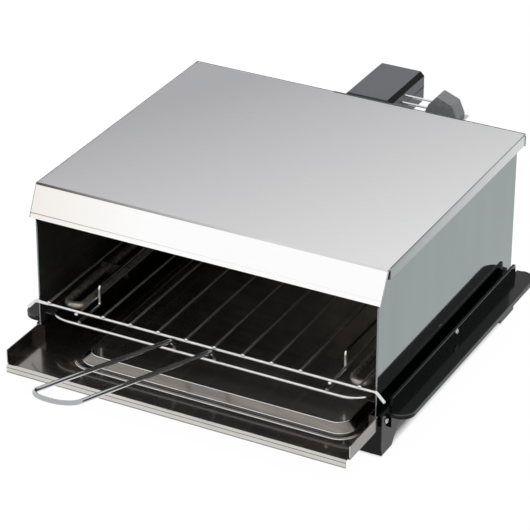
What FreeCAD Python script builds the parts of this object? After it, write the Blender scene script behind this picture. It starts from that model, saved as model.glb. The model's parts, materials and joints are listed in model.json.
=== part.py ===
import FreeCAD, Part
import math
import os

os.makedirs("parts", exist_ok=True)

# sheet metal hood, y = 0 at the front edge of the side panels
sheet = 1.0
bend = 1.5
base_half = 168.0
rail_wall = 5.0
panel_half = base_half - rail_wall
hood_overhang = 4.0
hood_width = 2 * (panel_half + hood_overhang)
hood_front = 8.5
hood_back = 294.0
hood_height = 175.5
lip_drop = 27.5
lip_reach = 13.2
fold_flat = 1.0
side_flange_drop = 10.5
rear_flange_drop = 12.0
rear_overhang = 10.0
panel_back = hood_back - rear_overhang
panel_bottom = 32.0
panel_flange = 12.0
lip_clearance = 1.0

# tubular heaters
tube_radius = 3.25
tube_hole_gap = 0.35
lower_tube_z = 58.8
lower_tube_front = 16.0
lower_tail_x = 58.0
tail_pitch = 12.0
hairpin_width = 16.0
loop_to_tube = 10.0
rear_run_gap = 8.5
rear_run_pitch = 8.0
tube_tail = 9.0
upper_tube_drop = 22.0
upper_tube_z = hood_height - upper_tube_drop
upper_tube_x = panel_half - 43.0
upper_tube_front = 40.0
upper_tube_rear = 200.0
upper_tail_x = 14.0
upper_bend = 15.0
support_thick = 1.5
support_rows = (90.0, 200.0)
hanger_y = 110.0
hanger_half = 7.0

# rear wiring cover, terminal box and cord boot
cover_reach = 20.0
cover_half = lower_tail_x + 2 * tail_pitch
cover_low = 46.0
cover_band = 22.0
duct_half = 16.0
neck_half = 34.0
neck_reach = 22.0
neck_back = hood_back + neck_reach
neck_drop = 11.0
neck_top = hood_height - neck_drop
box_half = 24.0
box_reach = 97.5
box_back = hood_back + box_reach
box_height = 29.0
box_drop = 9.0
box_top = hood_height - box_drop
box_bottom = box_top - box_height
box_split = box_bottom + 14.0
box_wall = 2.5
box_bevel = 4.0
boot_half = 9.0
boot_reach = 48.0
boot_y = hood_back + boot_reach
boot_drop = 25.0
boot_seat = hood_height - boot_drop
boot_gap = 27.0
bracket_margin = 3.0
bracket_tab_height = 14.0
pin_radius = 1.2

# moulded base and side handles
base_front = 2.0
base_back = panel_back - 1.0
front_bar_depth = 7.0
back_bar_depth = 8.0
foot_top_depth = 36.0
foot_mid_depth = 27.0
foot_heel_depth = 20.0
foot_mid_z = 10.5
rear_foot_depth = 30.0
notch_depth = 8.0
notch_z = 11.0
pad_front_inset = 9.5
pad_rear_inset = 12.0
base_top = 40.5
rail_bottom = 20.0
ledge_width = 13.0
ledge_half = panel_half - ledge_width
ledge_top = 28.0
foot_half_width = 11.0
pad_radius = 7.0
pad_height = 2.0
shelf_reach = 20.5
shelf_top = 41.0
shelf_thick = 4.0
shelf_front = 9.5
shelf_back = panel_back + 4.0
shelf_corner = 13.0
fence_thick = 2.5
fence_top = 51.5
fence_climb = 1.0
fence_slant = 2.0
fence_inset = 5.0
rib_rows = (70.0, 146.0, 222.0)
rib_inset = 4.0
rib_thick = 3.0

# drip tray
tray_sheet = 0.8
slide_gap = 0.3
tray_inner_half = panel_half - 5.0
tray_apron_half = panel_half + 2.0
tray_front = -52.5
tray_back = base_back - back_bar_depth - 5.0
tray_wall = 13.0
tray_lip_drop = 7.5
tray_lip_reach = 4.0
ledge_step = 1.2
plateau_step = 6.3
ledge_edge_y = -31.5
plateau_edge_y = -25.0
plateau_right = tray_inner_half - 8.0
plateau_left = tray_inner_half - 46.0
plateau_border = 6.0
plateau_corner = 16.0

# wire rack
rack_z = 66.4
frame_radius = 1.5
grid_radius = 1.1
front_wire_y = -3.7
front_wire_half = panel_half + 1.0
wire_end_drop = 8.0
rear_wire_y = panel_back - 21.0
wire_pairs = 6
wire_margin = 13.4
wire_pitch = 2 * (panel_half - wire_margin) / (2 * wire_pairs - 1)
under_pair = 4
loop_drop = 12.6
loop_half = panel_half - 6.0
lower_tube_outer_x = loop_half - loop_to_tube
lower_tube_inner_x = lower_tube_outer_x - hairpin_width
loop_corner = 25.0
rail_rise = 9.4
post_y = 30.0
rail_back = rear_wire_y - 25.0
rail_dip = 16.0
runner_width = 10.0
runner_leg = 8.0
handle_radius = 2.0
handle_centre = -8.5
handle_gauge = 39.0
handle_tip = -232.0
handle_angle = 17.1

shapes = {}


def vec(x, y, z):
    return FreeCAD.Vector(x, y, z)


def block(x0, x1, y0, y1, z0, z1):
    return Part.makeBox(x1 - x0, y1 - y0, z1 - z0, vec(x0, y0, z0))


def rounded_edges(points, radii):
    # straight runs joined by tangent arcs, one radius per inner corner
    edges = []
    start = points[0]
    for corner, after, radius in zip(points[1:-1], points[2:], radii):
        into = (corner - start).normalize()
        away = (after - corner).normalize()
        half_turn = into.getAngle(away) / 2.0
        cut = radius * math.tan(half_turn)
        first = corner - into * cut
        last = corner + away * cut
        inward = (away - into).normalize()
        middle = corner + inward * (radius / math.cos(half_turn) - radius)
        edges.append(Part.makeLine(start, first))
        edges.append(Part.Arc(first, middle, last).toShape())
        start = last
    edges.append(Part.makeLine(start, points[-1]))
    return edges


def rod(points, radius, radii):
    # a round bar bent along the points
    path = Part.Wire(rounded_edges(points, radii))
    direction = (points[1] - points[0]).normalize()
    disc = Part.Face(Part.Wire(Part.makeCircle(radius, points[0], direction)))
    return path.makePipe(disc)


def bar(start, end, radius):
    return Part.makeCylinder(radius, (end - start).Length, start, end - start)


def face_of(points):
    return Part.Face(Part.makePolygon(points + [points[0]]))


def prism_x(section, x0, x1):
    # a closed outline of (y, z) pairs pushed along x
    return face_of([vec(x0, y, z) for y, z in section]).extrude(vec(x1 - x0, 0, 0))


def folded(points, thick, radius, push):
    # bent sheet: the outline points are its outer skin, turning right at every bend
    inner = []
    for i, point in enumerate(points):
        before = points[max(i - 1, 0)]
        after = points[min(i + 1, len(points) - 1)]
        into = point - before if i > 0 else after - point
        away = after - point if i < len(points) - 1 else into
        into = into.normalize()
        away = away.normalize()
        axis = push.normalize()
        side_in = axis.cross(into)
        side_out = axis.cross(away)
        mid = (side_in + side_out).normalize()
        inner.append(point + mid * (thick / mid.dot(side_in)))
    outer_radii = [radius + thick] * (len(points) - 2)
    inner_radii = [radius] * (len(points) - 2)
    edges = rounded_edges(points, outer_radii)
    edges.append(Part.makeLine(points[-1], inner[-1]))
    edges += rounded_edges(inner[::-1], inner_radii)
    edges.append(Part.makeLine(inner[0], points[0]))
    return Part.Face(Part.Wire(Part.__sortEdges__(edges)))


def rounded_slab(x0, x1, y0, y1, z, radius):
    # rounded rectangle outline lying flat at height z
    corners = [vec(x0, y0, z), vec(x1, y0, z), vec(x1, y1, z), vec(x0, y1, z)]
    start = (corners[0] + corners[1]) * 0.5
    loop = [start] + corners[1:] + [corners[0], start]
    return Part.Wire(rounded_edges(loop, [radius] * 4))


def mirrored(shape):
    return shape.mirror(vec(0, 0, 0), vec(1, 0, 0))


def pair(name, left):
    shapes[name + "_left"] = left
    shapes[name + "_right"] = mirrored(left)


# hood top: flat sheet with turned down sides, sloping front lip and rear lip
half = hood_width / 2.0
side_low = hood_height - side_flange_drop
fold_reach = bend + sheet + fold_flat
sheet_front = hood_front + fold_reach
sheet_back = hood_back - fold_reach
across = [vec(-half, sheet_front, side_low), vec(-half, sheet_front, hood_height)]
across += [vec(half, sheet_front, hood_height), vec(half, sheet_front, side_low)]
hood_sheet = folded(across, sheet, bend, vec(0, 1, 0)).extrude(vec(0, sheet_back - sheet_front, 0))
lip_low = hood_height - lip_drop
front_fold = [vec(-half, hood_front - lip_reach, lip_low), vec(-half, hood_front, hood_height)]
front_fold.append(vec(-half, sheet_front, hood_height))
front_lip = folded(front_fold, sheet, bend, vec(-1, 0, 0)).extrude(vec(hood_width, 0, 0))
rear_fold = [vec(-half, sheet_back, hood_height), vec(-half, hood_back, hood_height)]
rear_fold.append(vec(-half, hood_back, hood_height - rear_flange_drop))
rear_lip = folded(rear_fold, sheet, bend, vec(-1, 0, 0)).extrude(vec(hood_width, 0, 0))
shapes["hood_top"] = hood_sheet.fuse([front_lip, rear_lip]).removeSplitter()

# side panels tucked under the top and cut back behind the sloping lip
under_top = hood_height - sheet
lip_slope = lip_reach / lip_drop
corner_low = hood_height - (hood_front + lip_clearance + sheet) / lip_slope
corner_back = hood_front + sheet + lip_clearance - sheet * lip_slope
panel_outline = [(0, panel_bottom), (panel_back, panel_bottom), (panel_back, under_top)]
panel_outline += [(corner_back, under_top), (0, corner_low)]
panel = prism_x(panel_outline, -panel_half, -panel_half + sheet)
flange_start = corner_back + lip_clearance
panel_top = block(-panel_half, -panel_half + panel_flange, flange_start, panel_back - sheet,
                  under_top - sheet, under_top)
pair("side_panel", panel.fuse(panel_top).removeSplitter())

# rear panel between the side panels, pierced for the heater tubes
panel_inner = panel_half - sheet
rear_face = panel_back - sheet
rear = block(-panel_inner, panel_inner, rear_face, panel_back, panel_bottom, under_top - sheet)
hole_radius = tube_radius + tube_hole_gap
tube_spots = [(upper_tail_x, upper_tube_z), (-upper_tail_x, upper_tube_z)]
for x in (lower_tail_x, lower_tail_x + tail_pitch):
    tube_spots += [(x, lower_tube_z), (-x, lower_tube_z)]
back = vec(0, 1, 0)
for x, z in tube_spots:
    rear = rear.cut(Part.makeCylinder(hole_radius, 3 * sheet, vec(x, rear_face - sheet, z), back))
shapes["rear_panel"] = rear

# lower heaters: a hairpin at each side, running inward along the rear to its tails
tail_y = panel_back + tube_tail
outer_run_y = rear_face - rear_run_gap
inner_run_y = outer_run_y - rear_run_pitch
half_pin = hairpin_width / 2.0
flat = [(lower_tail_x + tail_pitch, tail_y), (lower_tail_x + tail_pitch, outer_run_y)]
flat += [(lower_tube_outer_x, outer_run_y), (lower_tube_outer_x, lower_tube_front)]
flat += [(lower_tube_inner_x, lower_tube_front), (lower_tube_inner_x, inner_run_y)]
flat += [(lower_tail_x, inner_run_y), (lower_tail_x, tail_y)]
run = [vec(-x, y, lower_tube_z) for x, y in flat]
tight = tube_radius + 1.5
pin_bend = half_pin - 0.05
pair("lower_heater", rod(run, tube_radius, [tight, tight, pin_bend, pin_bend, tight, tight]))

# upper heater: wide loop under the top with both tails into the terminal neck
half_run = [(upper_tail_x, tail_y), (upper_tail_x, upper_tube_rear), (upper_tube_x, upper_tube_rear)]
half_run.append((upper_tube_x, upper_tube_front))
run = [vec(-x, y, upper_tube_z) for x, y in half_run]
run += [vec(x, y, upper_tube_z) for x, y in half_run[::-1]]
shapes["upper_heater"] = rod(run, tube_radius, [upper_bend] * 6)

# hangers carry the upper heater from the underside of the top
hanger_low = upper_tube_z - hanger_half
hang = block(-upper_tube_x - hanger_half, -upper_tube_x + hanger_half, hanger_y,
             hanger_y + support_thick, hanger_low, under_top)
hang_foot = block(-upper_tube_x - hanger_half, -upper_tube_x + hanger_half, hanger_y,
                  hanger_y + panel_flange, under_top - support_thick, under_top)
hang_hole = Part.makeCylinder(hole_radius, 3 * support_thick,
                              vec(-upper_tube_x, hanger_y - support_thick, upper_tube_z), back)
pair("upper_hanger", hang.fuse(hang_foot).cut(hang_hole).removeSplitter())

# runners on the side panels carry the rack's lower loop
loop_z = rack_z - loop_drop
runner_top = loop_z - frame_radius - slide_gap
runner_low = runner_top - sheet
runner_inner = panel_inner - runner_width
runner_end = panel_back - 3 * sheet
runner = block(-panel_inner, -runner_inner, 4 * sheet, runner_end, runner_low, runner_top)
runner_wall = block(-panel_inner, -panel_inner + sheet, 4 * sheet, runner_end,
                    runner_low - runner_leg, runner_top)
pair("rack_runner", runner.fuse(runner_wall).removeSplitter())

# plates standing on the runner's inner edge hold the lower heater tubes
plate_outer = loop_half - frame_radius - slide_gap - sheet
plate_inner = lower_tube_inner_x - hole_radius - 1.2
plate_top = lower_tube_z + hole_radius + 0.6
plates = []
for y in support_rows:
    plate = block(-plate_outer, -plate_inner, y, y + support_thick, runner_top, plate_top)
    for x in (lower_tube_outer_x, lower_tube_inner_x):
        spot = vec(-x, y - support_thick, lower_tube_z)
        plate = plate.cut(Part.makeCylinder(hole_radius, 3 * support_thick, spot, back))
    plates.append(plate)
pair("heater_support", Part.makeCompound(plates))

# wiring cover: an upside down T of folded sheet closed against the rear panel
cover_back = panel_back + cover_reach
band_top = cover_low + cover_band
duct_top = box_bottom
outer_band = block(-cover_half, cover_half, panel_back, cover_back, cover_low, band_top)
outer_duct = block(-duct_half, duct_half, panel_back, cover_back, cover_low, duct_top)
inner_band = block(-cover_half + sheet, cover_half - sheet, panel_back, cover_back - sheet,
                   cover_low + sheet, band_top - sheet)
inner_duct = block(-duct_half + sheet, duct_half - sheet, panel_back, cover_back - sheet,
                   cover_low + sheet, duct_top)
cover = outer_band.fuse(outer_duct).cut(inner_band.fuse(inner_duct))
shapes["wiring_cover"] = cover.removeSplitter()

# terminal neck: stepped collar under and behind the hood's rear lip
neck_step = hood_height - rear_flange_drop - sheet
neck_outline = [(panel_back, box_bottom), (neck_back, box_bottom), (neck_back, neck_top)]
neck_outline += [(hood_back, neck_top), (hood_back, neck_step), (panel_back, neck_step)]
neck = prism_x(neck_outline, -neck_half, neck_half)
tunnel = block(-box_half + box_wall, box_half - box_wall, panel_back, neck_back,
               box_bottom + box_wall, neck_step - box_wall)
wire_slot = block(-duct_half + sheet, duct_half - sheet, panel_back, cover_back - sheet,
                  box_bottom - sheet, box_bottom + 2 * box_wall)
shapes["terminal_neck"] = neck.cut(tunnel).cut(wire_slot).removeSplitter()


def bevelled_prism(inset, y0, y1, z0, z1):
    # box section with slanted upper shoulders, pulled in by the inset
    wide = box_half - inset
    narrow = wide - box_bevel
    shoulder = z1 - box_bevel
    ring = [vec(-wide, y0, z0), vec(wide, y0, z0), vec(wide, y0, shoulder)]
    ring += [vec(narrow, y0, z1), vec(-narrow, y0, z1), vec(-wide, y0, shoulder)]
    return face_of(ring).extrude(vec(0, y1 - y0, 0))


# terminal box: two moulded halves around a hollow
box_outer = bevelled_prism(0, neck_back, box_back, box_bottom, box_top)
rear_edges = [e for e in box_outer.Edges if e.BoundBox.YMin > box_back - 0.01]
box_outer = box_outer.makeFillet(box_wall, rear_edges)
box_inner = bevelled_prism(box_wall, neck_back, box_back - box_wall, box_bottom + box_wall,
                           box_top - box_wall)
box_shell = box_outer.cut(box_inner)
upper_half = block(-hood_width, hood_width, neck_back - 1, box_back + 1, box_split, box_top + 1)
shapes["terminal_box"] = box_shell.cut(upper_half)
shapes["terminal_cover"] = box_shell.common(upper_half)

# terminal block standing on the box floor
term_half = box_half - box_wall - 4.0
term_floor = box_bottom + box_wall
term_y = neck_back + 18.0
term = block(-term_half, term_half, term_y, term_y + 22.0, term_floor, term_floor + 9.0)
for x in (-term_half / 2.0, term_half / 2.0):
    well = vec(x, term_y + 11.0, term_floor + 4.0)
    term = term.cut(Part.makeCylinder(3.0, 9.0, well, vec(0, 0, 1)))
shapes["terminal_block"] = term

# cord boot: faceted moulding leaning to the right, on a bracket from the rear panel
boot_left = box_half + boot_gap
boot_steps = [(0, 0), (0, 5.5), (3.0, 12.5), (10.8, 21.8), (26.4, 15.7), (31.7, 3.5), (31.7, 0)]
boot_outline = [(boot_left + x, boot_seat + z) for x, z in boot_steps]
boot_ring = [vec(x, boot_y - boot_half, z) for x, z in boot_outline]
boot = face_of(boot_ring).extrude(vec(0, 2 * boot_half, 0))
boot_edges = [e for e in boot.Edges if e.BoundBox.YLength > boot_half
              and e.BoundBox.ZMin > boot_seat + 0.1]
boot = boot.makeFillet(2.5, boot_edges)
shapes["cord_boot"] = boot
bracket_left = boot_outline[0][0] - bracket_margin
bracket_right = boot_outline[-1][0] + bracket_margin
seat = block(bracket_left, bracket_right, panel_back, boot_y + boot_half + bracket_margin,
             boot_seat - support_thick, boot_seat)
bracket_tab = block(bracket_left, bracket_right, panel_back, panel_back + support_thick,
                    boot_seat - bracket_tab_height, boot_seat)
shapes["rear_bracket"] = seat.fuse(bracket_tab).removeSplitter()

# two short lead pins between the terminal box and the boot
pins = []
for y, rise in ((boot_y - boot_half / 2.0, 6.5), (boot_y + boot_half / 2.0, 9.5)):
    z = boot_seat + rise
    pin = bar(vec(box_half, y, z), vec(boot_outline[3][0], y, z), pin_radius)
    pins.append(pin.cut(boot))
shapes["lead_pins"] = Part.makeCompound(pins)

# base: side rails with curved front feet and notched rear feet, joined front and back
rail_outline = [vec(-base_half, base_front, pad_height), vec(-base_half, base_front, base_top)]
rail_outline += [vec(-base_half, base_back, base_top), vec(-base_half, base_back, pad_height)]
notch_y = base_back - rear_foot_depth
inner_notch = notch_y - notch_depth
rail_outline += [vec(-base_half, notch_y, pad_height), vec(-base_half, notch_y, notch_z)]
rail_outline += [vec(-base_half, inner_notch, notch_z), vec(-base_half, inner_notch, rail_bottom)]
rail_outline.append(vec(-base_half, base_front + foot_top_depth, rail_bottom))
heel = vec(-base_half, base_front + foot_heel_depth, pad_height)
foot_mid = vec(-base_half, base_front + foot_mid_depth, foot_mid_z)
hollow = Part.Arc(rail_outline[-1], foot_mid, heel).toShape()
rail_edges = [Part.makeLine(a, b) for a, b in zip(rail_outline[:-1], rail_outline[1:])]
rail_edges += [hollow, Part.makeLine(heel, rail_outline[0])]
rail_face = Part.Face(Part.Wire(rail_edges))
rail = rail_face.extrude(vec(rail_wall, 0, 0))
foot = rail_face.extrude(vec(2 * foot_half_width, 0, 0))
foot_room = block(-base_half, base_half, base_front, base_back, pad_height, rail_bottom + 0.5)
foot = foot.common(foot_room)
ledge = block(-panel_half, -ledge_half, base_front, base_back, rail_bottom, ledge_top)
half_base = rail.fuse([foot, ledge])
front_bar = block(-base_half, base_half, base_front, base_front + front_bar_depth, rail_bottom,
                  ledge_top)
back_bar = block(-base_half, base_half, base_back - back_bar_depth, base_back, rail_bottom,
                 panel_bottom)
base = half_base.fuse([mirrored(half_base), front_bar, back_bar])
shapes["base_frame"] = base.removeSplitter()

# rubber pads under the four feet
pad_x = base_half - foot_half_width
for word, y in (("front", base_front + pad_front_inset), ("rear", base_back - pad_rear_inset)):
    pad = Part.makeCylinder(pad_radius, pad_height, vec(-pad_x, y, 0))
    pair("foot_pad_" + word, pad)

# side handles: shelf with rounded outer corners, upright fence and ribs below
shelf_outer = base_half + shelf_reach
shelf_low = shelf_top - shelf_thick
plan = [vec(-base_half, shelf_front, shelf_low), vec(-shelf_outer, shelf_front, shelf_low)]
plan += [vec(-shelf_outer, shelf_back, shelf_low), vec(-base_half, shelf_back, shelf_low)]
plan_edges = rounded_edges(plan, [shelf_corner, shelf_corner])
plan_edges.append(Part.makeLine(plan[-1], plan[0]))
shelf = Part.Face(Part.Wire(plan_edges)).extrude(vec(0, 0, shelf_thick))
top_rim = [e for e in shelf.Edges if e.BoundBox.ZMin > shelf_top - 0.01
           and e.BoundBox.XMin < -base_half - 0.1]
shelf = shelf.makeFillet(shelf_thick / 3.0, top_rim)
fence_front = shelf_front + fence_inset
fence_back = base_back - fence_inset
wall_low = rail_bottom + 4.0
fence_outline = [(fence_front, wall_low), (fence_back, wall_low), (fence_back, shelf_top)]
fence_outline.append((fence_back - fence_slant, fence_top + fence_climb))
fence_outline.append((fence_front + fence_slant, fence_top))
fence_outline.append((fence_front, shelf_top))
fence = prism_x(fence_outline, -base_half - fence_thick, -base_half)
ribs = []
for y in rib_rows:
    rib_ring = [vec(-base_half, y, shelf_low), vec(-shelf_outer + rib_inset, y, shelf_low)]
    rib_ring.append(vec(-base_half, y, wall_low))
    ribs.append(face_of(rib_ring).extrude(vec(0, rib_thick, 0)))
pair("side_handle", shelf.fuse([fence] + ribs).removeSplitter())

# drip tray: wide apron in front, narrower pan behind, two raised steps
tray_low = ledge_top + slide_gap
floor_z = tray_low + tray_sheet
wall_top = tray_low + tray_wall
pan_front = -slide_gap * 3


def tray_plan(inset, front, z0, z1):
    apron = block(-tray_apron_half + inset, tray_apron_half - inset, front,
                  pan_front - inset, z0, z1)
    pan = block(-tray_inner_half + inset, tray_inner_half - inset, front,
                tray_back - inset, z0, z1)
    return apron.fuse(pan)


tray = tray_plan(0, tray_front, tray_low, wall_top)
tray = tray.cut(tray_plan(tray_sheet, tray_front - 1.0, floor_z, wall_top + 1.0))
step_skin = tray_sheet * 1.3


def raised(border, y0, y1, z0, rise, radius):
    # slope-sided step, standing out from the plateau outline by the border
    left = -plateau_left - border
    right = plateau_right + border
    low = rounded_slab(left, right, y0, y1, z0, radius)
    high = rounded_slab(left + rise, right - rise, y0 + rise, y1 - rise, z0 + rise,
                        radius - rise / 2.0)
    return Part.makeLoft([low, high], True, True)


step_one = raised(plateau_border, ledge_edge_y, tray_back - 3.0, floor_z, ledge_step,
                  plateau_corner + 4.0)
second_z = floor_z + ledge_step
step_two = raised(0, plateau_edge_y, tray_back - 10.0, second_z, plateau_step,
                  plateau_corner)
stack = step_one.fuse(step_two)
tray = tray.fuse(stack).cut(stack.translated(vec(0, 0, -step_skin)))
lip_half = tray_apron_half - 2.0
lip_y = tray_front - tray_lip_reach
tray_fold = [vec(-lip_half, lip_y, tray_low + tray_sheet - tray_lip_drop), vec(-lip_half, lip_y, floor_z)]
tray_fold.append(vec(-lip_half, tray_front + 1.0, floor_z))
tray_lip = folded(tray_fold, tray_sheet, bend, vec(-1, 0, 0)).extrude(vec(2 * lip_half, 0, 0))
shapes["drip_tray"] = tray.fuse(tray_lip).removeSplitter()

# rack: front and rear cross wires with long wires on top and two below
end_x = front_wire_half + wire_end_drop
run = [vec(-end_x, front_wire_y, rack_z - wire_end_drop), vec(-front_wire_half, front_wire_y, rack_z)]
run += [vec(front_wire_half, front_wire_y, rack_z), vec(end_x, front_wire_y, rack_z - wire_end_drop)]
shapes["rack_front_wire"] = rod(run, frame_radius, [4.0, 4.0])
rear_half = loop_half + frame_radius
rear_ends = [vec(-rear_half, rear_wire_y, rack_z), vec(rear_half, rear_wire_y, rack_z)]
shapes["rack_rear_wire"] = bar(rear_ends[0], rear_ends[1], frame_radius)
on_top = rack_z + frame_radius + grid_radius
below = rack_z - frame_radius - grid_radius
wire_start = front_wire_y - frame_radius
wire_end = rear_wire_y + frame_radius
long_wires = []
under_wires = []
under_x = (under_pair + 0.5) * wire_pitch
for i in range(wire_pairs):
    for side in (-1, 1):
        x = side * (i + 0.5) * wire_pitch
        z = below if i == under_pair else on_top
        wire = bar(vec(x, wire_start, z), vec(x, wire_end, z), grid_radius)
        (under_wires if i == under_pair else long_wires).append(wire)
shapes["rack_long_wires"] = Part.makeCompound(long_wires)
shapes["rack_under_wires"] = Part.makeCompound(under_wires)

# lower loop rises at the back to meet the rear cross wire
leg_y = rear_wire_y - 2 * frame_radius
run = [vec(-loop_half, leg_y, rack_z + frame_radius), vec(-loop_half, leg_y, loop_z)]
run += [vec(-loop_half, front_wire_y, loop_z), vec(loop_half, front_wire_y, loop_z)]
run += [vec(loop_half, leg_y, loop_z), vec(loop_half, leg_y, rack_z + frame_radius)]
shapes["rack_lower_loop"] = rod(run, frame_radius, [6.0, loop_corner, loop_corner, 6.0])

# side rails: from the lower loop back, up a post and along above the wires
rail_x = under_x - grid_radius - frame_radius
rail_low = loop_z + 2 * frame_radius
rail_z = rack_z + rail_rise
rest_z = rack_z + 2 * frame_radius
run = [vec(-rail_x, wire_start, rail_low), vec(-rail_x, post_y, rail_low)]
run += [vec(-rail_x, post_y, rail_z), vec(-rail_x, rail_back, rail_z)]
run += [vec(-rail_x, rail_back + rail_dip, rest_z), vec(-rail_x, wire_end, rest_z)]
pair("rack_side_rail", rod(run, frame_radius, [3.0, 3.0, 4.0, 4.0]))

# rack handle: hooks behind the lower loop, slants under the front wire, rises to a round end
hook_y = front_wire_y + frame_radius + handle_radius
hook_low = loop_z - frame_radius - handle_radius
climb = math.tan(math.radians(handle_angle))
knee_z = loop_z + frame_radius + handle_radius
pass_y = front_wire_y - frame_radius - handle_radius - 0.2
pass_z = rack_z - handle_radius
tip_z = pass_z + (pass_y - handle_tip) * climb
handle_run = [(hook_y, hook_low), (hook_y, knee_z), (pass_y, pass_z), (handle_tip, tip_z)]
left_x = handle_centre - handle_gauge / 2.0
right_x = handle_centre + handle_gauge / 2.0
run = [vec(left_x, y, z) for y, z in handle_run]
run += [vec(right_x, y, z) for y, z in handle_run[::-1]]
grip = handle_gauge / 2.0 - 2.0
shapes["rack_handle"] = rod(run, handle_radius, [3.0, 3.0, grip, grip, 3.0, 3.0])

# centre the whole assembly over the origin and write one file per piece
whole = Part.makeCompound(list(shapes.values())).optimalBoundingBox()
shift = vec(-(whole.XMin + whole.XMax) / 2.0, -(whole.YMin + whole.YMax) / 2.0, -whole.ZMin)
for name, shape in shapes.items():
    shape.translated(shift).exportStep("parts/" + name + ".step")
print("pieces", len(shapes), "shift", shift)
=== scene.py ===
import bpy
import bmesh
import json
import numpy as np
from mathutils import Matrix, Vector


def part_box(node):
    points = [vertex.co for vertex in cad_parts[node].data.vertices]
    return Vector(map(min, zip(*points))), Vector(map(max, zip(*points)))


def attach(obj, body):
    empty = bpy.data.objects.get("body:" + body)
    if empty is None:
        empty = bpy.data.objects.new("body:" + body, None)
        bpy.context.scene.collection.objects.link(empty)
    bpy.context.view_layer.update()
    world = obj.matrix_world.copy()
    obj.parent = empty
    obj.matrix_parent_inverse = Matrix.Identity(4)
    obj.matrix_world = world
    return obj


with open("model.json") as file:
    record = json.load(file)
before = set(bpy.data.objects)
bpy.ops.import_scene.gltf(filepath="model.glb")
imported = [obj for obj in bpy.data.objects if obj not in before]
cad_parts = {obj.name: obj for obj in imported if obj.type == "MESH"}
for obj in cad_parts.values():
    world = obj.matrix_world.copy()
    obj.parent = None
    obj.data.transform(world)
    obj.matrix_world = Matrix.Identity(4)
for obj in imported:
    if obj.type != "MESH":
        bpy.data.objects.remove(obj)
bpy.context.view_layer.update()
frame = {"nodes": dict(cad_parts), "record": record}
nodes = frame["nodes"]
mm = 0.001
print("stage 1: frame loaded,", len(nodes), "nodes")


def linear(hexColour):
    # sRGB to linear light: c / 12.92 near black, ((c + 0.055) / 1.055) ^ 2.4 above
    parts = [int(hexColour[i:i + 2], 16) / 255 for i in (1, 3, 5)]
    out = [c / 12.92 if c <= 0.04045 else ((c + 0.055) / 1.055) ** 2.4 for c in parts]
    return (out[0], out[1], out[2], 1.0)


def addNode(tree, kind, links=None, **settings):
    node = tree.nodes.new(kind)
    for name, value in settings.items():
        setattr(node, name, value)
    for socket, source in (links or {}).items():
        if isinstance(source, bpy.types.NodeSocket):
            tree.links.new(source, node.inputs[socket])
        else:
            node.inputs[socket].default_value = source
    return node


# what all finishes share: the noise keeps between low and high, and bump and coat have one strength
grain = {"low": 0.3, "high": 0.7, "detail": 3.0, "bumpStrength": 0.5, "leastRough": 0.02, "coatIor": 1.8}


def surface(name, tones, metallic, rough, grainMm, stretch=(1, 1, 1), mottle=0.3, roughSpread=0.03,
            bumpMm=0.0, drift=None, specular=0.5, coat=0.0):
    # tone = drift along a direction (or the middle) + mottle x noise; the same noise moves gloss and bump
    material = bpy.data.materials.new(name)
    material.use_nodes = True
    tree = material.node_tree
    shader = tree.nodes["Principled BSDF"]
    shader.inputs["Metallic"].default_value = metallic
    shader.inputs["Specular IOR Level"].default_value = specular
    shader.inputs["Coat Weight"].default_value = coat
    shader.inputs["Coat IOR"].default_value = grain["coatIor"]
    place = addNode(tree, "ShaderNodeTexCoord").outputs["Object"]
    pulled = addNode(tree, "ShaderNodeMapping", {"Vector": place, "Scale": stretch})
    noise = addNode(tree, "ShaderNodeTexNoise", {
        "Vector": pulled.outputs["Vector"], "Scale": 1 / (grainMm * mm), "Detail": grain["detail"]})
    height = noise.outputs["Fac"]
    share = addNode(tree, "ShaderNodeMapRange", {
        "Value": height, "From Min": grain["low"], "From Max": grain["high"],
        "To Min": 0.5 - mottle / 2, "To Max": 0.5 + mottle / 2})
    tone = share.outputs["Result"]
    if drift:
        direction, startMm, endMm = drift
        along = addNode(tree, "ShaderNodeVectorMath", {0: place, 1: direction}, operation="DOT_PRODUCT")
        slide = addNode(tree, "ShaderNodeMapRange", {
            "Value": along.outputs["Value"], "From Min": startMm * mm, "From Max": endMm * mm,
            "To Min": -0.5, "To Max": 0.5})
        total = addNode(tree, "ShaderNodeMath", {0: tone, 1: slide.outputs["Result"]},
                        operation="ADD", use_clamp=True)
        tone = total.outputs["Value"]
    # sockets 6 and 7 of a Mix node are its two colours
    blend = addNode(tree, "ShaderNodeMix", {0: tone, 6: linear(tones[0]), 7: linear(tones[1])},
                    data_type="RGBA")
    tree.links.new(blend.outputs[2], shader.inputs["Base Color"])
    gloss = addNode(tree, "ShaderNodeMapRange", {
        "Value": height, "To Min": max(rough - roughSpread, grain["leastRough"]), "To Max": rough + roughSpread})
    tree.links.new(gloss.outputs["Result"], shader.inputs["Roughness"])
    if bumpMm > 0:
        bump = addNode(tree, "ShaderNodeBump", {
            "Height": height, "Distance": bumpMm * mm, "Strength": grain["bumpStrength"]})
        tree.links.new(bump.outputs["Normal"], shader.inputs["Normal"])
    return material


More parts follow.
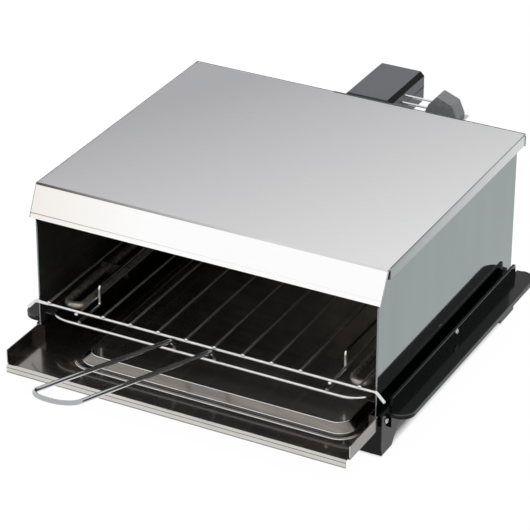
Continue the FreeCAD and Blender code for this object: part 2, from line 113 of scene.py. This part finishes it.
# grains of 0.6 to 1.5 mm are drawn coarser than real, so that they show
finish = {
    # rolled satin sheet: soft even grey, with a painted reflection that lightens it towards the front right
    "hoodSatin": surface("stainless_sheet_satin_rolled", ("#a4a4a8", "#dcdcdc"), metallic=1, rough=0.3,
                         grainMm=1.5, stretch=(0.1, 1, 1), mottle=0.06, bumpMm=0.002,
                         drift=((0.88, -0.47, 0), -190, 165)),
    # the same sheet on the lip, painted near white as a highlight, warmer at the left end
    "hoodLipHighlight": surface("stainless_sheet_hood_lip_painted_highlight", ("#f3ede7", "#fdfdfd"), metallic=1, rough=0.24,
                         grainMm=1.5, stretch=(1, 0.1, 1), mottle=0.04, drift=((1, 0, 0), -175, -60)),
    # the crease above the lip: painted shade, dark at the left, fading to the right
    "foldShade": surface("stainless_sheet_fold_painted_shade", ("#4b4947", "#d8d8d8"), metallic=1, rough=0.2,
                         grainMm=1.5, mottle=0.05, drift=((1, 0, 0), -170, 60)),
    # hemmed edges of the lip: a thin grey line of painted shade that pales to the right
    "hemShade": surface("stainless_sheet_hem_painted_shade", ("#96928e", "#f6f6f5"), metallic=1, rough=0.3,
                        grainMm=1.5, mottle=0.1, drift=((1, 0, 0), -170, 20)),
    # folds round the top and the lip's end: a thin dark grey line of painted shade
    "edgeShade": surface("stainless_sheet_edge_painted_shade", ("#5c5b59", "#7d7b78"), metallic=1, rough=0.35,
                       grainMm=1.2, mottle=0.8),
    # turned-down sides of the top: a painted reflection, as cool as the panel below at the front, paler at the
    # rear
    "flangeShade": surface("stainless_sheet_turned_edge_painted_reflection", ("#8f9797", "#cdcfcf"), metallic=1, rough=0.22,
                           grainMm=1.5, stretch=(1, 0.1, 1), mottle=0.1, drift=((0, 1, 0), -70, 190)),
    # outside of the side panels: cool mirror with soft upright streaks of painted reflection
    "panelMirror": surface("stainless_sheet_bright_annealed", ("#778080", "#8b9494"), metallic=1, rough=0.05,
                           grainMm=45, stretch=(1, 1, 0.18), mottle=0.35, roughSpread=0.02),
    # inside of the cavity: painted shade, near black
    "cavityShade": surface("stainless_sheet_cavity_painted_shade", ("#343433", "#4c4a47"), metallic=0.4, rough=0.09,
                          grainMm=30, stretch=(1, 1, 0.5), mottle=0.7, roughSpread=0.04),
    # the rear wall inside: painted shade, less dark and browner towards the right
    "cavityRear": surface("stainless_sheet_rear_painted_shade", ("#4a4947", "#cdc6bc"), metallic=0.25, rough=0.09,
                          grainMm=30, stretch=(1, 1, 0.5), mottle=0.35, roughSpread=0.04,
                          drift=((1, 0, 0), -165, 120)),
    # pressed tray: warm steel darkened as painted shade under the hood, with faint drawing lines under a clear
    # gloss
    "traySteel": surface("stainless_sheet_tray_painted_shade", ("#57524e", "#7f7872"), metallic=0.95, rough=0.2,
                         grainMm=7, stretch=(0.12, 1, 1), mottle=0.4, roughSpread=0.05, coat=0.6),
    # sloping sides of the pressing: a paler band of painted highlight round the raised middle
    "trayStepHighlight": surface("stainless_sheet_tray_slope_painted_highlight", ("#5d5853", "#8d867f"), metallic=1, rough=0.22,
                        grainMm=7, stretch=(0.12, 1, 1), mottle=0.8, roughSpread=0.05, coat=0.6),
    # raised middle of the tray: painted highlight, bright under the rack and lighter to the right
    "trayTop": surface("stainless_sheet_tray_top_painted_highlight", ("#716b66", "#c2bbb4"), metallic=0.9, rough=0.16,
                       grainMm=7, stretch=(0.12, 1, 1), mottle=0.3, roughSpread=0.04,
                       drift=((1, 0, 0), -140, 160), coat=0.6),
    # the tray's outer lip: the same sheet, paler as a painted highlight
    "trayLipHighlight": surface("stainless_sheet_tray_lip_painted_highlight", ("#c0bdb7", "#d6d5d0"), metallic=1, rough=0.2,
                       grainMm=4, stretch=(0.15, 1, 1), mottle=0.6),
    # rack wire: bright plating that picks up its surroundings
    "chromeWire": surface("wire_bright_nickel_plated", ("#cfcfd0", "#ededee"), metallic=1, rough=0.16,
                          grainMm=4, mottle=0.5, roughSpread=0.05),
    # long rack wires: the same plating dulled by heat, a thin highlight on a dark wire
    "gridWire": surface("wire_nickel_plated_heat_dulled", ("#b0afad", "#e2e1df"), metallic=0.8, rough=0.17,
                        grainMm=4, mottle=0.6, roughSpread=0.04),
    # rack handle: darker drawn steel wire with clear reflections
    "handleWire": surface("steel_wire_drawn_handle", ("#9c9da0", "#b4b5b7"), metallic=0.9, rough=0.06,
                          grainMm=9, mottle=0.25, roughSpread=0.02, coat=0.6),
    # heater tube: smooth oxide skin over steel, mottled with a soft highlight
    "sheath": surface("heater_sheath_oxidised_steel", ("#8a857e", "#c6c0b8"), metallic=0.72, rough=0.24,
                      grainMm=5, mottle=0.8, bumpMm=0.01),
    # base and handles: black phenolic, smooth and glossy from the mould
    "blackGloss": surface("phenolic_moulding_black_gloss", ("#070808", "#0c0d0d"), metallic=0, rough=0.13,
                          grainMm=8, mottle=0.6, specular=0.17),
    # rounded rims of the same mouldings: a thin grey painted highlight, lighter and glossier than the moulding
    "rimHighlight": surface("phenolic_moulding_black_rim_painted_highlight", ("#1c1d1e", "#2d2e2f"), metallic=0, rough=0.2,
                        grainMm=6, mottle=0.6, specular=0.6),
    # terminal box: grey plastic, kept matt by a fine spark texture
    "greyMould": surface("plastic_moulding_grey_fine_texture", ("#505257", "#5c5e63"), metallic=0, rough=0.46,
                         grainMm=0.6, mottle=0.8, bumpMm=0.02, specular=0.3),
    # the terminal box's parting line, black without a highlight, and painted shade on its bevelled edges and in
    # the hood's open corners
    "darkTrimAndShade": surface("plastic_moulding_black_seam_and_painted_shade", ("#08080a", "#0f0f11"), metallic=0, rough=0.3,
                        grainMm=0.6, mottle=0.8, specular=0.06),
    # cord boot: paler grey plastic with a coarser matt grain
    "bootMould": surface("plastic_moulding_grey_boot", ("#66676a", "#88898b"), metallic=0, rough=0.5,
                         grainMm=0.9, mottle=0.9, bumpMm=0.03, specular=0.3),
    # terminal block: cream porcelain under a clear glaze
    "porcelain": surface("porcelain_glazed_cream", ("#ded9cb", "#ece8dc"), metallic=0, rough=0.2,
                         grainMm=3, mottle=0.7),
    # foot pads: moulded rubber, dull black
    "rubber": surface("rubber_pad_moulded_black", ("#161617", "#222223"), metallic=0, rough=0.7,
                      grainMm=0.6, mottle=0.8, bumpMm=0.03),
    # machine screws: zinc plated steel, pale and slightly cloudy
    "screwZinc": surface("steel_screw_zinc_plated", ("#a8a9aa", "#c9cacb"), metallic=1, rough=0.25,
                         grainMm=1.2, mottle=0.7),
}
slotFinish = {
    "satin_steel": "hoodSatin", "polished_steel": "panelMirror", "tray_steel": "traySteel",
    "heater_sheath": "sheath", "grey_plastic": "greyMould", "boot_plastic": "bootMould",
    "porcelain": "porcelain", "black_plastic": "blackGloss", "pad_rubber": "rubber",
    "chrome_wire": "chromeWire",
}
nodeFinish = {"rack_long_wires": "gridWire", "rack_under_wires": "gridWire", "rack_handle": "handleWire"}
# runners, supports and hangers inside the cavity take the painted shade
for side in ("left", "right"):
    for name in ("rack_runner_", "heater_support_", "upper_hanger_"):
        nodeFinish[name + side] = "cavityShade"
for part in frame["record"]["subparts"]:
    mesh = nodes[part["node"]].data
    mesh.materials.clear()
    mesh.materials.append(finish[nodeFinish.get(part["node"], slotFinish[part["material_slot"]])])


def paint(node, key, rule):
    # faces whose outward normal and centre, each as rows of x, y and z, satisfy the rule take a second finish
    mesh = nodes[node].data
    mesh.materials.append(finish[key])
    count = len(mesh.polygons)
    normal = np.empty(count * 3)
    centre = np.empty(count * 3)
    slots = np.zeros(count, dtype=np.int32)
    mesh.polygons.foreach_get("normal", normal)
    mesh.polygons.foreach_get("center", centre)
    mesh.polygons.foreach_get("material_index", slots)
    slots[rule(normal.reshape(-1, 3).T, centre.reshape(-1, 3).T)] = len(mesh.materials) - 1
    mesh.polygons.foreach_set("material_index", slots)
    mesh.update()


# how far a normal leans along an axis before a face counts as square to it, sloping, level, or part of a bend
lean = {"square": 0.5, "slope": 0.3, "level": 0.95, "lipUp": 0.1, "foldForward": 0.12, "foldUp": 0.47}
# inner faces of the side panels: painted shade
paint("side_panel_left", "cavityShade", lambda n, c: n[0] > lean["square"])
paint("side_panel_right", "cavityShade", lambda n, c: n[0] < -lean["square"])
# inner face of the rear panel: painted shade
paint("rear_panel", "cavityRear", lambda n, c: n[1] < -lean["square"])
# bevelled edges of the terminal box: painted shade
paint("terminal_cover", "darkTrimAndShade", lambda n, c: (np.abs(n[0]) > lean["slope"]) & (n[2] > lean["slope"]))

# the hood's faces, by their depth behind its front edge, take painted shade, highlight and reflection on the one
# sheet
hoodFace = {"sheetMm": 1, "cutMm": 12.5, "sideMm": 13}
hoodLow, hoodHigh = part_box("hood_top")
hoodFoot = hoodLow[2] + hoodFace["sheetMm"] * mm
cutEnd = hoodLow[1] + hoodFace["cutMm"] * mm
sideStart = hoodLow[1] + hoodFace["sideMm"] * mm
# underside of the hood: painted shade
paint("hood_top", "cavityShade", lambda n, c: (n[2] < -lean["slope"]) & (c[2] > hoodFoot))
# the lip's forward faces: painted highlight
paint("hood_top", "hoodLipHighlight", lambda n, c: (n[1] < -lean["square"]) & (n[2] > lean["lipUp"]))
# the crease above the lip: painted shade
paint("hood_top", "foldShade", lambda n, c: (n[1] < -lean["foldForward"]) & (n[2] > lean["foldUp"]))
# the lip's end face: painted shade
paint("hood_top", "edgeShade", lambda n, c: (n[0] > lean["square"]) & (c[1] < cutEnd))
# turned-down sides of the top: painted reflection
paint("hood_top", "flangeShade", lambda n, c: (np.abs(n[0]) > lean["square"]) & (c[1] > sideStart))

# the tray's faces, by their depth behind its front edge and their height, take painted highlight on the lip,
# slopes and raised middle
trayFace = {"lipMm": 8, "panMm": 20, "topMm": 34}
trayLow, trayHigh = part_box("drip_tray")
lipEnd = trayLow[1] + trayFace["lipMm"] * mm
panStart = trayLow[1] + trayFace["panMm"] * mm
topFoot = trayFace["topMm"] * mm
# the tray's lip: painted highlight
paint("drip_tray", "trayLipHighlight",
      lambda n, c: (c[1] < lipEnd) & ((n[1] < -lean["slope"]) | (n[2] > lean["square"])))
# sloping faces of the pressing: painted highlight
paint("drip_tray", "trayStepHighlight",
      lambda n, c: (c[1] > panStart) & (n[2] > lean["slope"]) & (n[2] < lean["level"]))
# raised middle of the tray: painted highlight
paint("drip_tray", "trayTop", lambda n, c: (c[1] > panStart) & (n[2] > lean["level"]) & (c[2] > topFoot))
print("stage 2: finishes on", len(slotFinish), "slots")


def gridPiece(name, body, key, grids):
    # each grid is rows x columns x 3; columns close on themselves, and the first and last rows are poles
    points, faces, offset = [], [], 0
    for grid in grids:
        rows, columns = grid.shape[:2]
        row, column = np.meshgrid(np.arange(rows - 1), np.arange(columns), indexing="ij")
        following = (column + 1) % columns
        quads = np.stack([row * columns + column, row * columns + following,
                          (row + 1) * columns + following, (row + 1) * columns + column], -1).reshape(-1, 4)
        flat = grid.reshape(-1, 3)
        a, b, c, d = (flat[quads[:, i]] for i in range(4))
        # the enclosed volume is positive where the faces already point outwards
        volume = np.sum(a * np.cross(b, c)) + np.sum(a * np.cross(c, d))
        points.append(flat)
        faces.append((quads if volume > 0 else quads[:, ::-1]) + offset)
        offset += len(flat)
    mesh = bpy.data.meshes.new(name)
    mesh.from_pydata(np.concatenate(points).tolist(), [], np.concatenate(faces).tolist())
    # points that coincide become one, which closes the poles
    poleGap = 1e-8
    welded = bmesh.new()
    welded.from_mesh(mesh)
    bmesh.ops.remove_doubles(welded, verts=welded.verts, dist=poleGap)
    welded.to_mesh(mesh)
    welded.free()
    mesh.polygons.foreach_set("use_smooth", np.ones(len(mesh.polygons), dtype=bool))
    mesh.materials.append(finish[key])
    mesh.update()
    piece = bpy.data.objects.new(name, mesh)
    bpy.context.scene.collection.objects.link(piece)
    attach(piece, body)


def sideways(axis):
    # the unit axis and two unit vectors square to it and to each other
    axis = np.asarray(axis, float) / np.linalg.norm(axis)
    helper = np.array([0, 0, 1.0]) if abs(axis[2]) < 0.9 else np.array([1.0, 0, 0])
    u = np.cross(helper, axis)
    u /= np.linalg.norm(u)
    return axis, u, np.cross(axis, u)


# a screw's dome and cross recess, in shares of the head's radius and rise
headShape = {"width": 0.17, "widthFade": 0.06, "length": 0.62, "lengthFade": 0.1, "depth": 0.45, "crown": 0.85,
             "sinkMm": 0.6, "rings": 12, "columns": 48}


def screwHead(centre, axis, radiusMm, riseMm):
    # height = rise x sqrt(1 - crown x (r/R)^2) over the head, less a cross recess near its two arms
    axis, u, v = sideways(axis)
    share = np.concatenate([np.linspace(0, 1, headShape["rings"]), [1.0, 0.0]])[:, None]
    turn = np.linspace(0, 2 * np.pi, headShape["columns"], endpoint=False)[None, :]
    across = np.minimum(np.abs(np.sin(turn)), np.abs(np.cos(turn))) * share
    inArm = np.clip((headShape["width"] - across) / headShape["widthFade"], 0, 1)
    inReach = np.clip((headShape["length"] - share) / headShape["lengthFade"], 0, 1)
    dome = riseMm * np.sqrt(np.clip(1 - headShape["crown"] * share ** 2, 0, 1))
    high = dome - headShape["depth"] * riseMm * inArm * inReach
    high[-2:] = -headShape["sinkMm"]
    reach = radiusMm * share
    flat = (reach * np.cos(turn))[..., None] * u + (reach * np.sin(turn))[..., None] * v
    return np.asarray(centre) + (flat + high[..., None] * axis) * mm


def beadAlong(path, radiusMm, columns=8):
    # a circle of the given radius carried along the path, its ends drawn in to points
    path = np.asarray(path, float)
    heading = np.gradient(path, axis=0)
    heading /= np.linalg.norm(heading, axis=1)[:, None]
    helper = np.array([0.31, 0.17, 0.94])  # a direction that no path follows
    u = np.cross(heading, helper)
    u /= np.linalg.norm(u, axis=1)[:, None]
    v = np.cross(heading, u)
    turn = np.linspace(0, 2 * np.pi, columns, endpoint=False)
    ring = np.cos(turn)[None, :, None] * u[:, None, :] + np.sin(turn)[None, :, None] * v[:, None, :]
    radius = np.full(len(path), radiusMm * mm)
    radius[[0, -1]] = 0
    return path[:, None, :] + radius[:, None, None] * ring


def straight(start, end):
    # four points from start to end, with the end points doubled so that the ends close squarely
    share = np.concatenate([[0], np.linspace(0, 1, 4), [1]])[:, None]
    points = np.asarray(start) * (1 - share) + np.asarray(end) * share
    overrun = 1e-6
    points[0] -= overrun * (points[-1] - points[0])
    points[-1] += overrun * (points[-1] - points[0])
    return points


# weld beads where the long wires cross the front and rear wires of the rack: squashed balls, point =
# (sin p cos t, sin p sin t, cos p) over polar angle p and turn t
weld = {"radiusMm": 1.9, "squash": 0.85, "forwardMm": 0.5, "liftMm": 0.7, "wires": 12, "lowWires": (1, 10),
        "wireRadiusMm": 1.1, "rows": 9, "columns": 14}
wireLow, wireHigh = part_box("rack_long_wires")
rearLow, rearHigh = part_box("rack_rear_wire")
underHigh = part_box("rack_under_wires")[1]
outerX = wireHigh[0] - weld["wireRadiusMm"] * mm
polar = np.linspace(0, np.pi, weld["rows"])[:, None]
turn = np.linspace(0, 2 * np.pi, weld["columns"], endpoint=False)[None, :]
ball = np.stack([np.sin(polar) * np.cos(turn), np.sin(polar) * np.sin(turn), np.cos(polar) + 0 * turn], -1)
ball = ball * weld["radiusMm"] * mm * np.array([1, 1, weld["squash"]])
lift = weld["liftMm"] * mm
beads = []
for i, x in enumerate(np.linspace(-outerX, outerX, weld["wires"])):
    z = underHigh[2] - lift if i in weld["lowWires"] else wireLow[2] + lift
    for y in (wireLow[1] + weld["forwardMm"] * mm, (rearLow[1] + rearHigh[1]) / 2):
        beads.append(np.array([x, y, z]) + ball)
gridPiece("rack_weld_beads", "rack", "chromeWire", beads)

# rolled hem on the front edge of each side panel
panelHem = {"radiusMm": 0.85, "insetMm": 0.5, "footMm": 1.5, "headMm": 0.5, "columns": 12}
for side, sign in (("left", -1), ("right", 1)):
    low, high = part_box("side_panel_" + side)
    x = (low[0] if sign < 0 else high[0]) - sign * panelHem["insetMm"] * mm
    foot = [x, low[1], low[2] + panelHem["footMm"] * mm]
    head = [x, low[1], hoodLow[2] - panelHem["headMm"] * mm]
    bead = beadAlong(straight(foot, head), panelHem["radiusMm"], panelHem["columns"])
    gridPiece("panel_hem_" + side, "oven", "panelMirror", [bead])

# lines of painted shade on the hood: the hem and left end of its lip, the folds round its top, and a dark bead in
# the open corner at each end of the lip;
# pairs are depth and height in mm from the nearest edge
hoodLine = {"radiusMm": 0.35, "hemShare": 0.86, "endMm": 0.5, "foldMm": (13.2, 0.6), "toeMm": (0.2, 0.6),
            "rearMm": (0.3, 0.25), "gapRadiusMm": 0.7, "gapHeadMm": (1.4, 1.6), "gapFootMm": (0.2, 8.5)}
endX = hoodHigh[0] - hoodLine["endMm"] * mm
fold = np.array([0, hoodLow[1] + hoodLine["foldMm"][0] * mm, hoodHigh[2] - hoodLine["foldMm"][1] * mm])
toe = np.array([0, hoodLow[1] + hoodLine["toeMm"][0] * mm, hoodLow[2] + hoodLine["toeMm"][1] * mm])
hemRow = fold + (toe - fold) * hoodLine["hemShare"]
across = np.array([endX, 0, 0])
lipLines = [beadAlong(straight(start, end), hoodLine["radiusMm"])
            for start, end in ((fold - across, toe - across), (hemRow - across, hemRow + across))]
gridPiece("hood_lip_hem_shade", "oven", "hemShade", lipLines)
rear = hoodHigh[1] - hoodLine["rearMm"][0] * mm
topRow = hoodHigh[2] - hoodLine["rearMm"][1] * mm
edges = [((sign * endX, fold[1], topRow), (sign * endX, rear, topRow)) for sign in (-1, 1)]
edges += [((-endX, rear, topRow), (endX, rear, topRow)), (fold + across, toe + across)]
# dark lines of painted shade along the folds round the top and the lip's right end
foldLines = [beadAlong(straight(start, end), hoodLine["radiusMm"]) for start, end in edges]
gridPiece("hood_fold_shade_lines", "oven", "edgeShade", foldLines)
# a dark bead of painted shade in the open corner at each end of the lip
gaps = []
for sign in (-1, 1):
    head, foot = ((sign * endX, fold[1] + depth * mm, hoodHigh[2] - down * mm)
                  for depth, down in (hoodLine["gapHeadMm"], hoodLine["gapFootMm"]))
    gaps.append(beadAlong(straight(head, foot), hoodLine["gapRadiusMm"]))
gridPiece("hood_corner_gap_shade", "oven", "darkTrimAndShade", gaps)

# two rolled lines along the tray's front lip, in the darker tray steel as painted shade in its creases
trayHem = {"radiusMm": 0.45, "endMm": 2.4, "depthMm": 0.2, "rowsMm": (0.8, 5.2)}
endX = trayHigh[0] - trayHem["endMm"] * mm
y = trayLow[1] + trayHem["depthMm"] * mm
rows = [trayLow[2] + z * mm for z in trayHem["rowsMm"]]
lipLines = [beadAlong(straight((-endX, y, z), (endX, y, z)), trayHem["radiusMm"]) for z in rows]
gridPiece("tray_lip_crease_shade", "tray", "traySteel", lipLines)

# painted highlights along the edges of the tray's pressing, in the bright wire plating: each row is left, right,
# front, inset from the back, corner radius and height in mm
pressing = {"edgesMm": ((-118, 156, -110.2, 3, 20, 29.1), (-112, 150, -103.7, 10, 16, 30.3),
                        (-105.7, 143.7, -97.4, 16.3, 12.9, 36.6)),
            "radiusMm": 0.6, "meetMm": 0.5, "cornerSteps": 9}
quarter = np.linspace(0, np.pi / 2, pressing["cornerSteps"])
lines = []
for left, right, front, inset, bend, height in pressing["edgesMm"]:
    # a rounded oblong: four quarter circles joined by straight sides, begun and ended in the middle of the back
    back = trayHigh[1] / mm - inset
    middle = (left + right) / 2
    path = [(middle, back), (middle - pressing["meetMm"], back)]
    for x, y, start in ((left + bend, back - bend, 0.5), (left + bend, front + bend, 1.0),
                        (right - bend, front + bend, 1.5), (right - bend, back - bend, 2.0)):
        angle = start * np.pi + quarter
        path += list(zip(x + bend * np.cos(angle), y + bend * np.sin(angle)))
    path = np.array(path + [(middle + pressing["meetMm"], back), (middle, back)])
    lines.append(beadAlong(np.column_stack([path, np.full(len(path), height)]) * mm, pressing["radiusMm"]))
gridPiece("tray_pressing_highlights", "tray", "chromeWire", lines)
print("stage 3: hems and welds")

# screws: one on each front foot, one on each handle fence, and those of the rear parts; each has its radius and
# rise in mm, and its place from the edges of the piece that it holds
screws = {"footMm": (2.6, 1.8), "footBackMm": 7.5, "footUpMm": 33,
          "fenceMm": (2.9, 1.5), "fenceOutMm": 2.5, "fenceBackMm": 136.5, "fenceUpMm": 49,
          "rearMm": (3.0, 1.6), "coverAcrossMm": (-66, -30, 30, 66), "coverUpMm": 11, "coverColumnMm": (86, 122),
          "bracketSideMm": 8, "bracketOutMm": 1.5, "bracketUpMm": 5}
baseLow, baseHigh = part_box("base_frame")
handleLow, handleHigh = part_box("side_handle_right")
coverLow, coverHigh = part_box("wiring_cover")
bracketLow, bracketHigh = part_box("rear_bracket")
heads = []
for sign in (-1, 1):
    footPlace = (sign * baseHigh[0], baseLow[1] + screws["footBackMm"] * mm, screws["footUpMm"] * mm)
    fencePlace = (sign * (baseHigh[0] + screws["fenceOutMm"] * mm), handleLow[1] + screws["fenceBackMm"] * mm,
                  screws["fenceUpMm"] * mm)
    heads.append(screwHead(footPlace, (sign, 0, 0), *screws["footMm"]))
    heads.append(screwHead(fencePlace, (sign, 0, 0), *screws["fenceMm"]))
places = [(x * mm, coverHigh[1], coverLow[2] + screws["coverUpMm"] * mm) for x in screws["coverAcrossMm"]]
places += [(0, coverHigh[1], z * mm) for z in screws["coverColumnMm"]]
places += [(x, bracketLow[1] + screws["bracketOutMm"] * mm, bracketLow[2] + screws["bracketUpMm"] * mm)
           for x in (bracketLow[0] + screws["bracketSideMm"] * mm, bracketHigh[0] - screws["bracketSideMm"] * mm)]
heads += [screwHead(place, (0, 1, 0), *screws["rearMm"]) for place in places]
gridPiece("case_screws", "oven", "screwZinc", heads)

# rounded rims of the handle shelves, their fences and the front feet, each sunk a little into its edge and
# coloured as a painted highlight
rim = {"shelfMm": 0.7, "shelfSinkMm": 0.45, "shelfTopMm": 41, "shelfRootMm": 3, "cornerMm": 13,
       "fenceMm": 0.5, "fenceSinkMm": 0.35, "fenceTopMm": (51.5, 52.5), "fenceThickMm": 2.5, "fenceInsetMm": 7,
       "footMm": 0.6, "footSinkMm": 0.4, "footSpanMm": (7, 40), "cornerSteps": 9, "columns": 10}
turn = np.linspace(0, np.pi / 2, rim["cornerSteps"])[:, None]
bend = rim["cornerMm"] * mm
sink = rim["shelfSinkMm"] * mm
root = baseHigh[0] + rim["shelfRootMm"] * mm
row = (rim["shelfTopMm"] - rim["shelfSinkMm"]) * mm
near = handleLow[1] + sink
far = handleHigh[1] - sink
bendX = handleHigh[0] - sink - bend
# out from the base, a quarter circle, along the shelf, a quarter circle and back in
shelfPath = np.concatenate([
    [[root, near, row]],
    np.array([[bendX, near + bend, row]]) + bend * np.concatenate([np.sin(turn), -np.cos(turn), 0 * turn], 1),
    np.array([[bendX, far - bend, row]]) + bend * np.concatenate([np.cos(turn), np.sin(turn), 0 * turn], 1),
    [[root, far, row]]])
fenceX = baseHigh[0] + (rim["fenceThickMm"] - rim["fenceSinkMm"]) * mm
fenceTop = [(z - rim["fenceSinkMm"]) * mm for z in rim["fenceTopMm"]]
fencePath = straight((fenceX, handleLow[1] + rim["fenceInsetMm"] * mm, fenceTop[0]),
                     (fenceX, baseHigh[1] - rim["fenceInsetMm"] * mm, fenceTop[1]))
footX = baseHigh[0] - rim["footSinkMm"] * mm
footY = baseLow[1] + rim["footSinkMm"] * mm
footPath = straight(*((footX, footY, z * mm) for z in rim["footSpanMm"]))
rims = []
for sign in (-1, 1):
    for path, radiusMm in ((shelfPath, rim["shelfMm"]), (fencePath, rim["fenceMm"]), (footPath, rim["footMm"])):
        rims.append(beadAlong(path * (sign, 1, 1), radiusMm, rim["columns"]))
gridPiece("base_moulding_rim_highlights", "oven", "rimHighlight", rims)

# parting line round the terminal box: a shallow dark bead where the halves meet
seam = {"radiusMm": 0.35, "cornerMm": 2.5, "cornerSteps": 7}
boxLow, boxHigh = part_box("terminal_cover")
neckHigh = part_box("terminal_neck")[1]
splitZ = boxLow[2]
bend = seam["cornerMm"] * mm
arc = np.linspace(0, np.pi / 2, seam["cornerSteps"])
corner = np.stack([boxLow[0] + bend - bend * np.cos(arc), boxHigh[1] - bend + bend * np.sin(arc),
                   0 * arc + splitZ], -1)
path = np.concatenate([[(boxLow[0], neckHigh[1], splitZ)], corner, corner[::-1] * (-1, 1, 1),
                       [(boxHigh[0], neckHigh[1], splitZ)]])
gridPiece("terminal_box_seam", "oven", "darkTrimAndShade", [beadAlong(path, seam["radiusMm"])])
print("stage 4: screws, rims and seam")

# studio: white to the camera and to reflections, a soft grey fill to the rest
studio = {"fill": 0.62, "white": 1.03, "shadow": 0.05, "paper": "#e1e2e2", "floorM": 6.0, "floorDropMm": 0.2,
          "fadeMm": 8, "aimM": (0, 0, 0.1)}
reach = studio["floorM"]
drop = -studio["floorDropMm"] * mm
floorMesh = bpy.data.meshes.new("studioFloor")
floorMesh.from_pydata([(-reach, -reach, drop), (reach, -reach, drop), (reach, reach, drop), (-reach, reach, drop)],
                      [], [(0, 1, 2, 3)])
floor = bpy.data.objects.new("studioFloor", floorMesh)
bpy.context.scene.collection.objects.link(floor)


def seenDirectly(tree, most):
    # share of white for rays from the camera, a reflection or a clear piece
    rays = addNode(tree, "ShaderNodeLightPath").outputs
    mirrored = addNode(tree, "ShaderNodeMath", {0: rays["Is Glossy Ray"], 1: rays["Is Transmission Ray"]},
                       operation="MAXIMUM")
    both = addNode(tree, "ShaderNodeMath", {0: rays["Is Camera Ray"], 1: mirrored.outputs["Value"]},
                   operation="MAXIMUM")
    share = addNode(tree, "ShaderNodeMath", {0: both.outputs["Value"], 1: most}, operation="MULTIPLY")
    return share.outputs["Value"]


# floor of pale paper: matt, and lit to white where it is seen directly
paper = bpy.data.materials.new("studio_floor_pale_paper")
paper.use_nodes = True
tree = paper.node_tree
shader = tree.nodes["Principled BSDF"]
shader.inputs["Base Color"].default_value = linear(studio["paper"])
shader.inputs["Roughness"].default_value = 1.0
shader.inputs["Specular IOR Level"].default_value = 0.0
glow = addNode(tree, "ShaderNodeEmission", {"Color": (1, 1, 1, 1), "Strength": studio["white"]})
# a small share of paper lets a faint shadow show, and under the open base all of it is plain paper: depth =
# least of half size - |place - centre|
centre = [(a + b) / 2 for a, b in zip(baseLow, baseHigh)]
half = [(b - a) / 2 for a, b in zip(baseLow, baseHigh)]
place = addNode(tree, "ShaderNodeTexCoord").outputs["Object"]
offset = addNode(tree, "ShaderNodeVectorMath", {0: place, 1: centre}, operation="SUBTRACT")
distance = addNode(tree, "ShaderNodeVectorMath", {0: offset.outputs["Vector"]}, operation="ABSOLUTE")
inward = addNode(tree, "ShaderNodeVectorMath", {0: half, 1: distance.outputs["Vector"]}, operation="SUBTRACT")
sides = addNode(tree, "ShaderNodeSeparateXYZ", {"Vector": inward.outputs["Vector"]})
depth = addNode(tree, "ShaderNodeMath", {0: sides.outputs["X"], 1: sides.outputs["Y"]}, operation="MINIMUM")
whiteShare = addNode(tree, "ShaderNodeMapRange", {
    "Value": depth.outputs["Value"], "From Max": studio["fadeMm"] * mm,
    "To Min": 1 - studio["shadow"], "To Max": 0.0})
mix = addNode(tree, "ShaderNodeMixShader", {
    0: seenDirectly(tree, whiteShare.outputs["Result"]), 1: shader.outputs["BSDF"], 2: glow.outputs["Emission"]})
tree.links.new(mix.outputs["Shader"], tree.nodes["Material Output"].inputs["Surface"])
floorMesh.materials.append(paper)

world = bpy.data.worlds.new("studioWorld")
world.use_nodes = True
bpy.context.scene.world = world
tree = world.node_tree
room = tree.nodes["Background"]
room.inputs["Color"].default_value = (studio["fill"], studio["fill"], studio["fill"], 1)
white = addNode(tree, "ShaderNodeBackground", {"Color": (1, 1, 1, 1), "Strength": 1.0})
mix = addNode(tree, "ShaderNodeMixShader", {
    0: seenDirectly(tree, 1.0), 1: room.outputs["Background"], 2: white.outputs["Background"]})
tree.links.new(mix.outputs["Shader"], tree.nodes["World Output"].inputs["Surface"])

# soft boxes, hidden from reflections so that bright metal shows the plain white studio
lamps = {
    "front": {"size": (2.4, 1.6), "power": 18, "at": (-0.9, -2.4, 1.2)},
    "top": {"size": (2.0, 2.0), "power": 16, "at": (0.3, -0.4, 2.4)},
    "right": {"size": (1.4, 1.4), "power": 9, "at": (2.4, 0.6, 1.2)},
}
for name, lamp in lamps.items():
    data = bpy.data.lights.new("softbox_" + name, "AREA")
    data.shape = "RECTANGLE"
    data.size, data.size_y = lamp["size"]
    data.energy = lamp["power"]
    light = bpy.data.objects.new("softbox_" + name, data)
    light.visible_glossy = False
    bpy.context.scene.collection.objects.link(light)
    aim = Vector(studio["aimM"]) - Vector(lamp["at"])
    light.matrix_world = Matrix.Translation(lamp["at"]) @ aim.to_track_quat("-Z", "Y").to_matrix().to_4x4()

# camera fitted to the edges measured in the photo
view = {"eyeM": (0.949897, -1.788093, 1.210725), "right": (0.885909, 0.463848, 0.003306),
        "up": (-0.225081, 0.423631, 0.877425), "lensMm": 181.425, "sensorMm": 36.0}
right, up = Vector(view["right"]), Vector(view["up"])
turned = Matrix((right, up, right.cross(up))).transposed().to_4x4()
camData = bpy.data.cameras.new("camera")
camData.lens = view["lensMm"]
camData.sensor_width = view["sensorMm"]
camera = bpy.data.objects.new("camera", camData)
camera.matrix_world = Matrix.Translation(view["eyeM"]) @ turned
bpy.context.scene.collection.objects.link(camera)
bpy.context.scene.camera = camera
bpy.context.scene.view_settings.view_transform = "Standard"
print("stage 5: studio and camera set")
